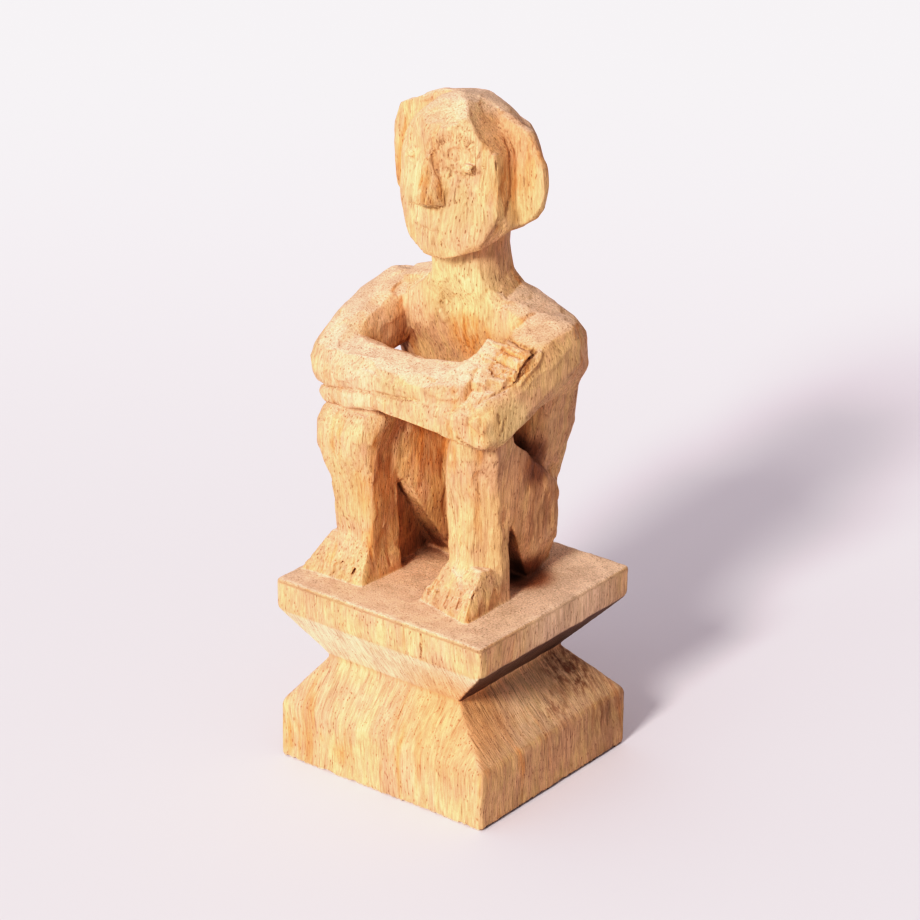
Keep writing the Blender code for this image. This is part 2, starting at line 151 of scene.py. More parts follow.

# The wood's colours. The last two are painted shade, multiplied into the colour of hollows and of
# shaded faces.
PALE = (0.73, 0.455, 0.22, 1.0)
TAN = (0.67, 0.375, 0.215, 1.0)
ROSY = (0.80, 0.53, 0.37, 1.0)
STRAW = (0.86, 0.60, 0.29, 1.0)
ORANGE = (0.62, 0.25, 0.075, 1.0)
END_GRAIN_AND_PAINTED_LIGHT = (0.90, 0.61, 0.43, 1.0)
PALE_UNDERSIDE = (0.89, 0.68, 0.46, 1.0)
PORE_AND_PAINTED_SHADE = (0.25, 0.085, 0.032, 1.0)
DIRT_AND_PAINTED_SHADE = (0.14, 0.048, 0.014, 1.0)
SALMON = (0.74, 0.36, 0.16, 1.0)
PAINTED_HOLLOW_SHADE = (0.20, 0.10, 0.055, 1.0)
SHADED = (0.17, 0.12, 0.10, 1.0)

# The web of wood behind the right shin: its outline in y and z, and its two sides in x.
WEB_OUTLINE = ((-10.0, -2.0), (12.5, -2.0), (11.0, 9.0), (-3.0, 24.0), (-10.0, 33.0))
WEB_SIDES = (-24.0, -18.0)

# Places with a tint: the middle, the full and the outer radius, and how strong it is. Some groups are
# painted light and painted shade, as their names say.
ORANGE_PLACES = (
    ((0.5, -14.0, 123.0), 3.0, 6.5, 0.6),
    ((-10.5, 2.0, 40.0), 5.0, 14.0, 0.8),
    ((-34.0, -37.0, -51.0), 3.0, 9.0, 0.7),
    ((-22.0, -37.0, -47.0), 0.5, 4.5, 0.7),
    ((-14.0, -37.0, -51.0), 1.0, 6.0, 0.6),
    ((24.5, -19.0, 61.0), 4.0, 10.0, 0.3),
    ((14.0, 1.0, 124.0), 3.0, 10.0, 0.6),
    ((3.0, 2.5, 75.0), 4.0, 11.0, 0.9),
    ((26.0, -9.0, 76.0), 4.0, 9.0, 0.8),
    ((-16.0, -17.0, 30.0), 3.0, 14.0, 0.5),
    ((-34.0, -28.0, 22.0), 3.0, 14.0, 0.3),
)
# Painted shade, broken up into streaks: on the plinth's side to the figure's left towards the back, under the
# chin, under the right arm, on the left haunch and on the crown behind the left ear.
PAINTED_SHADE_PLACES = (
    ((26.0, 19.0, -28.5), 4.0, 14.0, 0.85),
    ((31.0, 22.0, -34.0), 1.0, 9.0, 0.8),
    ((33.0, 6.0, -37.0), 1.0, 10.0, 0.6),
    ((37.0, 24.0, -44.0), 1.0, 9.0, 0.6),
    ((1.5, -6.0, 101.5), 1.0, 6.0, 0.5),
    ((-22.0, 4.0, 70.0), 2.0, 9.0, 0.7),
    ((24.0, 10.0, 24.0), 4.0, 17.0, 0.5),
    ((14.0, 10.5, 141.0), 1.5, 6.0, 0.5),
)
# Painted shadow: on the slab under the left haunch, in the gap under the left arm and between the legs behind
# the right shin.
PAINTED_SHADOW_PLACES = (
    ((18.0, 10.0, 0.0), 5.0, 12.0, 0.95),
    ((22.0, 7.0, 39.0), 4.0, 10.0, 0.9),
    ((-15.0, 5.0, 12.0), 5.0, 15.0, 0.4),
)
SALMON_PLACES = (
    ((23.0, -30.0, -30.0), 8.0, 26.0, 0.75),
    ((-2.0, -12.0, 138.0), 6.0, 15.0, 0.3),
    ((27.0, -2.0, 84.0), 6.0, 14.0, 0.3),
    ((-24.0, 0.0, 86.0), 6.0, 14.0, 0.2),
    ((12.0, 2.0, 138.0), 5.0, 10.0, 0.5),
    ((20.0, 6.0, 128.0), 4.0, 12.0, 0.3),
    ((3.0, 3.0, 74.0), 5.0, 11.0, 0.4),
    ((24.0, 0.0, 28.0), 8.0, 26.0, 0.3),
)
# The wood's own rosy tone on the right arm and the forehead; on the slab's side to the figure's left the
# paler rosy patch is partly the wood's pink and partly painted light.
ROSY_AND_PAINTED_LIGHT_PLACES = (
    ((-26.0, 0.0, 80.0), 6.0, 16.0, 0.35),
    ((-20.0, -18.0, 64.0), 8.0, 20.0, 0.35),
    ((0.0, -10.0, 141.0), 6.0, 16.0, 0.15),
    ((38.0, 8.0, -6.0), 10.0, 34.0, 0.7),
)
# Painted light, with some of the wood's own straw colour: paler yellow by the left ear, at the foot of the
# neck, on the left elbow and on the right cheek.
STRAW_AND_PAINTED_LIGHT_PLACES = (
    ((22.0, 5.0, 121.0), 6.0, 12.0, 0.4),
    ((0.0, 0.0, 90.0), 8.0, 16.0, 0.7),
    ((28.0, -14.0, 60.0), 5.0, 10.0, 0.7),
    ((-10.0, -13.0, 122.0), 5.0, 13.0, 0.6),
)
# The tint of each group, and whether it is broken up into streaks. Later groups lie on earlier ones.
TINTS = (
    (ROSY_AND_PAINTED_LIGHT_PLACES, ROSY, False),
    (STRAW_AND_PAINTED_LIGHT_PLACES, STRAW, False),
    (SALMON_PLACES, SALMON, False),
    (ORANGE_PLACES, ORANGE, True),
    (PAINTED_SHADE_PLACES, PORE_AND_PAINTED_SHADE, True),
    (PAINTED_SHADOW_PLACES, PORE_AND_PAINTED_SHADE, False),
)

# Painted shade: the faces to the figure's left darken towards this place, off the lower block's back left
# corner: the place, the full and the outer radius, and the share of the darkening.
SHADED_PLACE = (44.0, 46.0, -38.0)
SHADED_RADII = (14.0, 50.0)
SHADED_SHARE = 0.32

# Where the mesh is finer: middle and radius.
FINE_AREAS = (((3.0, -10.0, 128.0), 13.0), ((27.0, -9.0, 75.0), 9.5), ((-25.0, -25.5, 2.5), 8.0),
              ((15.0, -22.5, 4.0), 9.5), ((16.0, -36.7, -6.0), 6.5))

# How long the steps are in which a cut is laid on the wood.
CUT_STEP = 0.3

# Cuts made on purpose. Each has its depth, its half width, how dark dirt and painted shade leave it, and
# the points it runs through, which are laid on the nearest surface. A cut with a depth below zero is a ridge.
CUTS = {
    "slot_at_fingertips": (1.4, 0.7, 1.0, [(29.6, -3.4, 79.0), (30.9, -7.0, 77.8), (30.6, -10.0, 75.6),
                                            (30.2, -12.2, 72.3)]),
    "lip_beyond_fingertips": (-0.9, 1.1, 0.0, [(31.2, -2.6, 78.2), (31.6, -5.1, 75.7), (31.2, -7.9, 74.0),
                                               (30.8, -10.7, 71.7)]),
    "top_of_hand": (0.7, 0.45, 0.8, [(17.0, 0.0, 79.2), (22.1, -3.2, 79.7), (27.5, -4.1, 79.4),
                                    (29.5, -3.4, 78.8)]),
    "first_finger": (0.4, 0.35, 0.5, [(23.4, -7.1, 79.8), (26.7, -7.6, 79.1)]),
    "second_finger": (0.6, 0.42, 0.6, [(21.7, -7.8, 79.1), (24.4, -8.0, 77.9), (29.0, -8.2, 77.7)]),
    "third_finger": (0.6, 0.42, 0.6, [(21.3, -10.6, 76.3), (24.4, -10.5, 75.6), (30.1, -11.7, 75.6)]),
    "fourth_finger": (0.6, 0.42, 0.6, [(21.8, -13.2, 74.2), (24.2, -14.7, 73.9), (28.0, -14.7, 73.6)]),
    "side_of_hand": (0.3, 0.4, 0.4, [(21.1, -18.3, 71.5), (22.7, -18.5, 71.0), (24.5, -17.8, 70.5)]),
    "under_the_hand": (0.6, 0.45, 0.5, [(29.3, -13.4, 71.2), (27.1, -17.1, 69.5), (24.5, -20.0, 68.1),
                                        (23.3, -21.6, 66.6)]),
    "elbow_gouge_one": (0.35, 0.5, 0.5, [(28.8, -18.4, 64.2), (29.0, -17.8, 61.3)]),
    "elbow_gouge_two": (0.35, 0.5, 0.5, [(29.5, -16.0, 62.2), (29.1, -16.6, 58.5)]),
    "elbow_gouge_three": (0.35, 0.5, 0.4, [(25.4, -22.7, 64.7), (26.7, -23.5, 61.8)]),
    "elbow_crease": (0.8, 0.45, 0.8, [(19.8, -24.6, 56.4), (22.0, -23.6, 55.0), (24.5, -21.4, 53.6),
                                      (23.8, -17.0, 51.6)]),
    "chest_fold": (0.5, 0.7, 0.3, [(-6.9, 0.9, 83.4), (-5.6, 1.2, 80.6), (-4.6, 1.6, 78.0)]),
    "chest_ridge": (-0.5, 1.3, 0.0, [(-8.4, 0.8, 84.2), (-7.4, 1.0, 81.0), (-6.4, 1.5, 78.0)]),
    "nose_base": (0.4, 0.4, 0.6, [(-13.0, -7.0, 114.7), (-6.5, -10.0, 116.4), (-1.0, -12.7, 117.6),
                                   (1.2, -11.8, 117.6)]),
    "mouth": (0.25, 0.5, 0.15, [(-9.0, -9.0, 110.0), (-1.1, -13.0, 111.0), (1.6, -11.8, 110.6)]),
    "mouth_corner": (0.4, 0.35, 0.6, [(2.4, -11.3, 107.6), (2.3, -11.3, 106.8)]),
    "left_eye": (-1.1, 1.8, 0.0, [(7.6, -9.4, 129.9), (9.8, -8.8, 130.2)]),
    "round_left_eye": (0.45, 0.55, 0.45, [(5.6, -10.2, 129.2), (7.4, -9.6, 127.6), (9.8, -8.8, 127.5),
                                          (11.8, -8.0, 128.6)]),
    "over_left_eye": (0.35, 0.45, 0.4, [(6.0, -10.0, 131.4), (8.4, -9.2, 132.4), (11.0, -8.3, 132.0)]),
    "pit_of_left_eye": (1.2, 0.8, 1.0, [(11.8, -8.1, 130.2)]),
    "crack_beside_eye": (0.7, 0.35, 0.8, [(15.6, -3.6, 132.2), (15.9, -3.8, 130.0)]),
    "ear_crease": (0.5, 0.9, 0.45, [(13.0, 4.2, 136.1), (15.5, 2.9, 131.1), (15.8, 3.0, 125.2),
                                    (16.2, 2.3, 119.6), (16.5, 0.1, 116.1)]),
    "between_forearms": (0.7, 0.6, 0.45, [(-36.5, -17.0, 57.0), (-32.2, -21.9, 58.5), (-21.3, -25.0, 61.0),
                                          (-11.7, -25.8, 62.6), (-3.4, -26.2, 63.6), (5.0, -25.8, 64.6)]),
    "edge_of_nose": (0.3, 0.4, 0.35, [(2.0, -12.0, 131.0), (2.6, -11.6, 124.0), (1.8, -11.8, 118.0)]),
    "slab_crack": (0.6, 0.42, 1.0, [(16.0, -36.7, -1.8), (16.2, -36.7, -6.7), (15.6, -36.3, -10.0)]),
}

# The way across the left half of the face, then the arc of short strokes over the left eye and the ring
# of them round it: the middle, the radii across and up, the first and last angle, the number of strokes
# and their length.
FACE_ACROSS = (0.9, 0.44, 0.0)
BROW = ((5.5, -9.6, 130.0), (7.0, 8.7), (158, 42), 14, 1.9)
EYE_RING = ((8.3, -8.4, 129.8), (5.2, 4.9), (250, 10), 8, 1.2)

# The toes: the places of the cuts between them, from side to side, with the tops of the cuts, and the
# depth, half width and darkness of each foot's cuts.
RIGHT_TOES = ((-30.3, 3.4), (-26.0, 3.7), (-22.6, 3.8), (-19.4, 3.2))
LEFT_TOES = ((6.0, 2.6), (9.6, 4.4), (14.4, 5.8), (19.2, 6.6), (22.4, 7.0))
RIGHT_TOE_CUT = (0.5, 0.5, 0.45)
LEFT_TOE_CUT = (0.65, 0.55, 0.45)


def towards(azimuth, elevation):
    """The unit vector that points from the object towards a viewer or a lamp."""
    a, e = math.radians(azimuth), math.radians(elevation)
    return Vector((math.sin(a) * math.cos(e), -math.cos(a) * math.cos(e), math.sin(e)))


# Noise and ramps


def lattice_noise(points, seed):
    """Smooth noise from -1 to 1 at each point: random values on whole-number corners, blended between.

    The large numbers scramble a corner's place and the seed into that random value.
    """
    cell = np.floor(points).astype(np.int64)
    part = points - cell
    part = part * part * (3 - 2 * part)
    total = np.zeros(len(points))
    for dx in (0, 1):
        for dy in (0, 1):
            for dz in (0, 1):
                corner = cell + (dx, dy, dz)
                mixed = corner[:, 0] * 73856093 ^ corner[:, 1] * 19349663 ^ corner[:, 2] * 83492791
                mixed = (mixed + seed * 2654435761) & 0x7FFFFFFF
                mixed = (mixed ^ (mixed >> 13)) * 1274126177 & 0x7FFFFFFF
                value = ((mixed ^ (mixed >> 16)) & 0xFFFF) / 32767.5 - 1
                weight = np.ones(len(points))
                for axis, step in enumerate((dx, dy, dz)):
                    weight = weight * (part[:, axis] if step else 1 - part[:, axis])
                total += value * weight
    return total


def ramp(value, low, high):
    """0 below low, 1 above high and a smooth change between."""
    t = np.clip((value - low) / (high - low), 0, 1)
    return t * t * (3 - 2 * t)


# Work on the mesh


class Carving:
    """The mesh as arrays: its points in millimetres, its edges and how many of them meet at a point."""

    def __init__(self, mesh):
        self.mesh = mesh
        count = len(mesh.vertices)
        flat = np.zeros(count * 3)
        mesh.vertices.foreach_get("co", flat)
        self.points = flat.reshape(-1, 3) / MM
        ends = np.zeros(len(mesh.edges) * 2, np.int64)
        mesh.edges.foreach_get("vertices", ends)
        self.edges = ends.reshape(-1, 2)
        self.degree = np.bincount(self.edges.ravel(), minlength=count).clip(1)

    def store(self):
        """Writes the points back to the mesh."""
        self.mesh.vertices.foreach_set("co", (self.points * MM).ravel())
        self.mesh.update()

    def normals(self):
        """The direction out of the wood at each vertex."""
        self.store()
        flat = np.zeros(len(self.points) * 3, np.float32)
        self.mesh.vertex_normals.foreach_get("vector", flat)
        return flat.reshape(-1, 3).astype(float)

    def averaged(self, values):
        """Each vertex's mean over its neighbours, for one or more values."""
        a, b = self.edges[:, 0], self.edges[:, 1]
        columns = values.reshape(len(values), -1)
        out = np.zeros_like(columns, dtype=float)
        for k in range(columns.shape[1]):
            out[:, k] = np.bincount(a, columns[b, k], len(columns))
            out[:, k] += np.bincount(b, columns[a, k], len(columns))
        return (out / self.degree[:, None]).reshape(values.shape)

    def ease(self, steps, share):
        """Softens the form. share is how far each vertex moves to its neighbours' mean at a step."""
        for _ in range(steps):
            self.points += (self.averaged(self.points) - self.points) * share[:, None]

    def push(self, amount):
        """Moves the vertices out along their normals by amount millimetres."""
        self.points += self.normals() * amount[:, None]

    def edginess(self):
        """How far each vertex stands out from its smoothed surroundings, in millimetres."""
        smooth = self.points.copy()
        for _ in range(8):
            smooth += (self.averaged(smooth) - smooth) * 0.6
        return np.einsum("ij,ij->i", self.points - smooth, self.normals())


def add_web(work):
    """The web of wood behind the right shin, as a body of its own."""
    for x in WEB_SIDES:
        for y, z in WEB_OUTLINE:
            work.verts.new(Vector((x, y, z + SEAT)) * MM)
    bmesh.ops.convex_hull(work, input=work.verts)


def fine_copy(source):
    """A closed mesh of small even faces in the form of the source and the web, which it joins."""
    work = bmesh.new()
    add_web(work)
    work.from_mesh(source.data)
    both = bpy.data.meshes.new("base")
    work.to_mesh(both)
    work.free()
    base = bpy.data.objects.new("base", both)
    bpy.context.scene.collection.objects.link(base)
    remesh = base.modifiers.new("even faces", "REMESH")
    remesh.mode = "VOXEL"
    remesh.voxel_size = VOXEL * MM
    graph = bpy.context.evaluated_depsgraph_get()
    mesh = bpy.data.meshes.new_from_object(base.evaluated_get(graph))
    bpy.data.objects.remove(base)
    return mesh


def refined(mesh):
    """The mesh with its edges halved where the small cuts are."""
    work = bmesh.new()
    work.from_mesh(mesh)
    chosen = set()
    for middle, reach in FINE_AREAS:
        middle = Vector(middle) + Vector((0, 0, SEAT))
        for edge in work.edges:
            if ((edge.verts[0].co + edge.verts[1].co) / (2 * MM) - middle).length < reach:
                chosen.add(edge)
    bmesh.ops.subdivide_edges(work, edges=list(chosen), cuts=1, use_grid_fill=True)
    work.to_mesh(mesh)
    work.free()
    return mesh


def thinned(mesh, triangles):
    """The mesh with about that many triangles, fewest where it is flat."""
    piece = bpy.data.objects.new("thick", mesh)
    bpy.context.scene.collection.objects.link(piece)
    mesh.calc_loop_triangles()
    fewer = piece.modifiers.new("fewer faces", "DECIMATE")
    fewer.ratio = min(1.0, triangles / len(mesh.loop_triangles))
    fewer.use_collapse_triangulate = True
    graph = bpy.context.evaluated_depsgraph_get()
    made = bpy.data.meshes.new_from_object(piece.evaluated_get(graph))
    bpy.data.objects.remove(piece)
    return made


# Where the parts of the figure lie, in millimetres, with z from the plinth's top


def heights(points):
    """How high the points are above the plinth's top."""
    return points[:, 2] - SEAT


def inside(points, spans):
    """Which points lie within the three spans of the forearms or the upper arms."""
    held = np.ones(len(points), bool)
    places = (np.abs(points[:, 0] - BODY_X), points[:, 1], heights(points))
    for place, (low, high) in zip(places, spans):
        held &= (place > low) & (place < high)
    return held


def limb_direction(points):
    """The way the knife ran: up and down on the body and legs, and along the arms."""
    along = np.zeros_like(points)
    along[:, 2] = 1.0
    along[inside(points, FOREARMS)] = (1.0, 0.0, 0.05)
    along[inside(points, UPPER_ARMS)] = (0.05, 0.88, 0.46)
    return along / np.linalg.norm(along, axis=1)[:, None]


# The knife's work


def point_tree(points):
    """The points in the form in which their nearest are found fast."""
    tree = kdtree.KDTree(len(points))
    for k, point in enumerate(points):
        tree.insert(point, k)
    tree.balance()
    return tree


def spaced_choice(points, spacing, generator):
    """Indices of points that lie at least spacing apart, in random order."""
    taken = {}
    chosen = []
    for k in generator.permutation(len(points)):
        place = points[k]
        home = tuple(np.floor(place / spacing).astype(int))
        near = (
            other
            for dx in (-1, 0, 1)
            for dy in (-1, 0, 1)
            for dz in (-1, 0, 1)
            for other in taken.get((home[0] + dx, home[1] + dy, home[2] + dz), ())
        )
        if all(np.dot(points[other] - place, points[other] - place) > spacing * spacing for other in near):
            taken.setdefault(home, []).append(k)
            chosen.append(k)
    return np.array(chosen)


def knife_facets(points, normals, generator):
    """The rise that turns the figure's rounded wood into long shallow planes, as a knife leaves it."""
    sample = generator.choice(len(points), FACET_SAMPLE, replace=False)
    chosen = sample[spaced_choice(points[sample], FACET_SPACING, generator)]
    seeds = points[chosen]
    facing = normals[chosen] + generator.normal(0, FACET_TILT, (len(chosen), 3))
    facing /= np.linalg.norm(facing, axis=1)[:, None]
    along = limb_direction(seeds)
    tree = point_tree(seeds)
    near = np.array([[found[1] for found in tree.find_n(point, FACET_NEIGHBOURS)] for point in points])
    gap = points[:, None, :] - seeds[near]
    run = np.einsum("ijk,ijk->ij", gap, along[near])
    apart = np.einsum("ijk,ijk->ij", gap, gap) - FACET_STRETCH * run * run
    agree = np.einsum("ik,ijk->ij", normals, facing[near]) > 0.6
    apart = np.where(agree, apart, 1e3)
    apart -= apart.min(axis=1)[:, None]
    weight = np.exp(-apart * FACET_SHARPNESS) * agree
    rise = -np.einsum("ijk,ijk->ij", gap, facing[near])
    whole = weight.sum(axis=1)
    height = (weight * rise).sum(axis=1) / np.maximum(whole, 1e-6)
    return np.where(whole > 1e-6, np.clip(height - 0.05, -FACET_LIMIT, FACET_LIMIT), 0)


def ticks(middle, radii, angles, count, length, generator):
    """Short strokes that point at the middle of an ellipse on the left half of the face."""
    across = np.array(FACE_ACROSS)
    made = []
    for k in range(count):
        angle = math.radians(angles[0] + (angles[1] - angles[0]) * k / (count - 1) + generator.normal(0, 2.0))
        ends = []
        for reach in (-0.5 * length, 0.5 * length):
            wide = (radii[0] + reach) * math.cos(angle)
            high = (radii[1] + reach * 1.2) * math.sin(angle)
            ends.append(tuple(np.array(middle) + across * wide + (0, 0, high)))
        made.append((generator.uniform(0.25, 0.4), 0.3, generator.uniform(0.5, 0.9), ends))
    return made


def toe_cuts():
    """The cuts that part the toes, over the front of each foot."""
    made = []
    for x, top in RIGHT_TOES:
        made.append((*RIGHT_TOE_CUT, [(x, -23.4, top + 0.6), (x + 0.4, -26.4, top - 2.8)]))
    for x, top in LEFT_TOES:
        ends = [(x, -19.5 - 0.05 * x, top + 0.6), (x + 0.3, -22.6 - 0.1 * x, top - 3.6)]
        made.append((*LEFT_TOE_CUT, ends))
    return made


def all_cuts(generator):
    """Every cut made on purpose, in one list."""
    made = list(CUTS.values())
    made += ticks(*BROW, generator)
    made += ticks(*EYE_RING, generator)
    made += toe_cuts()
    return made


def cut_fields(points, cuts):
    """How deep the cuts go at each point, and how dark their dirt and painted shade leave it."""
    tree = point_tree(points)
    depth = np.zeros(len(points))
    dark = np.zeros(len(points))
    for deep, half_width, darkness, line in cuts:
        places = [np.array(place) + (0, 0, SEAT) for place in line]
        steps = [places[0]]
        for start, end in zip(places, places[1:]):
            count = max(2, int(np.linalg.norm(end - start) / CUT_STEP))
            steps += [start + (end - start) * (k + 1) / count for k in range(count)]
        nearest = {}
        for step in steps:
            _, home, _ = tree.find(step)
            for _, index, distance in tree.find_range(points[home], half_width * 1.5):
                nearest[index] = min(distance, nearest.get(index, 1e9))
        index = np.array(list(nearest))
        share = np.array(list(nearest.values())) / half_width
        profile = np.clip(1 - share, 0, 1) ** 0.8 * deep
        depth[index] = np.where(np.abs(profile) > np.abs(depth[index]), profile, depth[index])
        shade = ramp(1.15 - share, 0.0, 0.9) * darkness
        dark[index] = np.maximum(dark[index], shade)
    return depth, dark


def hollow_shade_field(carving):
    """How much of the air before each point the wood itself blocks, from 0 to 1, nearer wood the more."""
    points, normals = carving.points, carving.normals()
    corners = np.zeros(len(carving.mesh.polygons) * 3, np.int64)
    carving.mesh.polygons.foreach_get("vertices", corners)
    tree = BVHTree.FromPolygons(points.tolist(), corners.reshape(-1, 3).tolist())
    turns = np.arange(HOLLOW_RAYS) * math.pi * (3 - math.sqrt(5))
    rise = np.sqrt(1 - (np.arange(HOLLOW_RAYS) + 0.5) / HOLLOW_RAYS)
    spread = np.sqrt(1 - rise ** 2)
    fan = np.stack([np.cos(turns) * spread, np.sin(turns) * spread, rise], axis=1)
    side = np.cross(normals, np.where(np.abs(normals[:, 2:3]) < 0.9, (0, 0, 1), (1, 0, 0)))
    side /= np.linalg.norm(side, axis=1)[:, None]
    other = np.cross(normals, side)
    blocked = np.zeros(len(points))
    starts = points + normals * 0.3
    for ray in fan:
        ways = side * ray[0] + other * ray[1] + normals * ray[2]
        for k, (start, way) in enumerate(zip(starts.tolist(), ways.tolist())):
            distance = tree.ray_cast(start, way, HOLLOW_REACH)[3]
            if distance is not None:
                blocked[k] += 1 - 0.5 * distance / HOLLOW_REACH
    blocked /= HOLLOW_RAYS
    for _ in range(HOLLOW_STEPS):
        blocked += (carving.averaged(blocked) - blocked) * 0.5
    return blocked


def rough_wood(carving):
    """Wear on the edges, the torn lower edge, and the low waves that saw and knife leave."""
    points = carving.points
    z = heights(points)
    plinth = ramp(-z, -0.3, 0.3)
    edge = np.clip(carving.edginess(), 0, 0.6)
    worn = edge * (0.9 + 1.1 * lattice_noise(points * 0.55, 3)) * 0.55
    wave = np.zeros(len(points))
    for change, seed, height in WAVES:
        wave += lattice_noise(points * change, seed) * height
    foot = ramp(1.6 - points[:, 2], 0.0, 1.4)
    torn = foot * (lattice_noise(points * (1.6, 1.6, 0.6), 8) * 0.28 - 0.12)
    return wave * (0.6 + 0.5 * plinth) + torn - np.clip(worn, 0, 0.45)


def ragged_foot(points):
    """Lifts the lower edge here and there, where fibres broke off."""
    half = np.maximum(np.abs(points[:, 0]), np.abs(points[:, 1]))
    rim = ramp(half, *RIM) * ramp(1.2 - points[:, 2], 0.0, 1.0)
    lift = np.clip(lattice_noise(points * (1.1, 1.1, 0.0), 11) - 0.1, 0, 1) * 0.9
    points[:, 2] += rim * lift


# The material


class Shading:
    """Makes a material's nodes and joins them up."""

    def __init__(self, material):
        material.use_nodes = True
        self.nodes = material.node_tree.nodes
        self.links = material.node_tree.links
        self.nodes.clear()

    def node(self, kind, inputs=(), **settings):
        made = self.nodes.new("ShaderNode" + kind)
        for name, value in settings.items():
            setattr(made, name, value)
        for socket, value in inputs:
            self.put(made, socket, value)
        return made

    def put(self, node, socket, value):
        """Sets a socket to a value, or joins it to another node's output."""
        if isinstance(value, bpy.types.NodeSocket):
            self.links.new(value, node.inputs[socket])
        else:
            node.inputs[socket].default_value = value

    def math(self, operation, a, b=0.0):
        return self.node("Math", ((0, a), (1, b)), operation=operation).outputs[0]

    def scaled(self, vector, factors):
        return self.node("VectorMath", ((0, vector), (1, factors)), operation="MULTIPLY").outputs[0]

    def noise(self, vector, scale, detail=2.0, roughness=0.5):
        made = self.node("TexNoise", (("Vector", vector), ("Scale", scale), ("Detail", detail),
                                      ("Roughness", roughness)))
        return made.outputs["Fac"]

    def ramp(self, value, low, high, start=0.0, end=1.0):
        made = self.node("MapRange", ((0, value), (1, low), (2, high), (3, start), (4, end)),
                         interpolation_type="SMOOTHSTEP")
        return made.outputs[0]

    def mix(self, share, a, b, blend="MIX"):
        made = self.node("Mix", data_type="RGBA", blend_type=blend)
        for socket, value in ((0, share), (6, a), (7, b)):
            self.put(made, socket, value)
        return made.outputs[2]

    def near(self, vector, place, inner, outer):
        """1 within the inner distance of a place, 0 beyond the outer one."""
        far = self.node("VectorMath", ((0, vector), (1, place)), operation="DISTANCE").outputs["Value"]
        return self.ramp(far, inner, outer, 1.0, 0.0)


def tinted(s, place, bent, colour):
    """The wood's colour with the tints of its places laid on, painted light and painted shade among them."""
    streaks = s.noise(s.scaled(bent, (0.5, 0.5, 0.09)), 1.0, 4.0, 0.65)
    uneven = s.ramp(streaks, 0.36, 0.62)
    for places, tint, streaky in TINTS:
        for middle, inner, outer, strength in places:
            middle = (middle[0], middle[1], middle[2] + SEAT)
            share = s.math("MULTIPLY", s.near(place, middle, inner, outer), strength)
            if streaky:
                share = s.math("MULTIPLY", share, uneven)
            colour = s.mix(share, colour, tint)
    return colour


def darkened(s, colour, fibre, fuzz, cloud, stroke):
    """The colour with the light and dark of fibres, fuzz, clouds and strokes."""
    shade = s.ramp(fibre, 0.30, 0.70, 0.72, 1.14)
    shade = s.math("MULTIPLY", shade, s.ramp(fuzz, 0.30, 0.70, 0.93, 1.06))
    shade = s.math("MULTIPLY", shade, s.ramp(cloud, 0.34, 0.66, 0.87, 1.08))
    shade = s.math("MULTIPLY", shade, s.ramp(stroke, 0.60, 0.72, 1.0, 0.68))
    grey = s.node("CombineColor", ((0, shade), (1, shade), (2, shade))).outputs[0]
    return s.mix(1.0, colour, grey, "MULTIPLY")


def fine_relief(s, fibre, streak, fuzz, stroke, pore):
    """The relief of fibres, strokes and pores, which is too fine for the mesh."""
    relief = s.math("MULTIPLY", fibre, 0.9)
    relief = s.math("ADD", relief, s.math("MULTIPLY", streak, 0.8))
    relief = s.math("ADD", relief, s.math("MULTIPLY", fuzz, 0.35))
    relief = s.math("SUBTRACT", relief, s.math("MULTIPLY", s.ramp(stroke, 0.60, 0.72), 0.5))
    relief = s.math("SUBTRACT", relief, s.math("MULTIPLY", pore, 0.8))
    return s.node("Bump", (("Strength", 0.8), ("Distance", 0.30 * MM), ("Height", relief))).outputs[0]


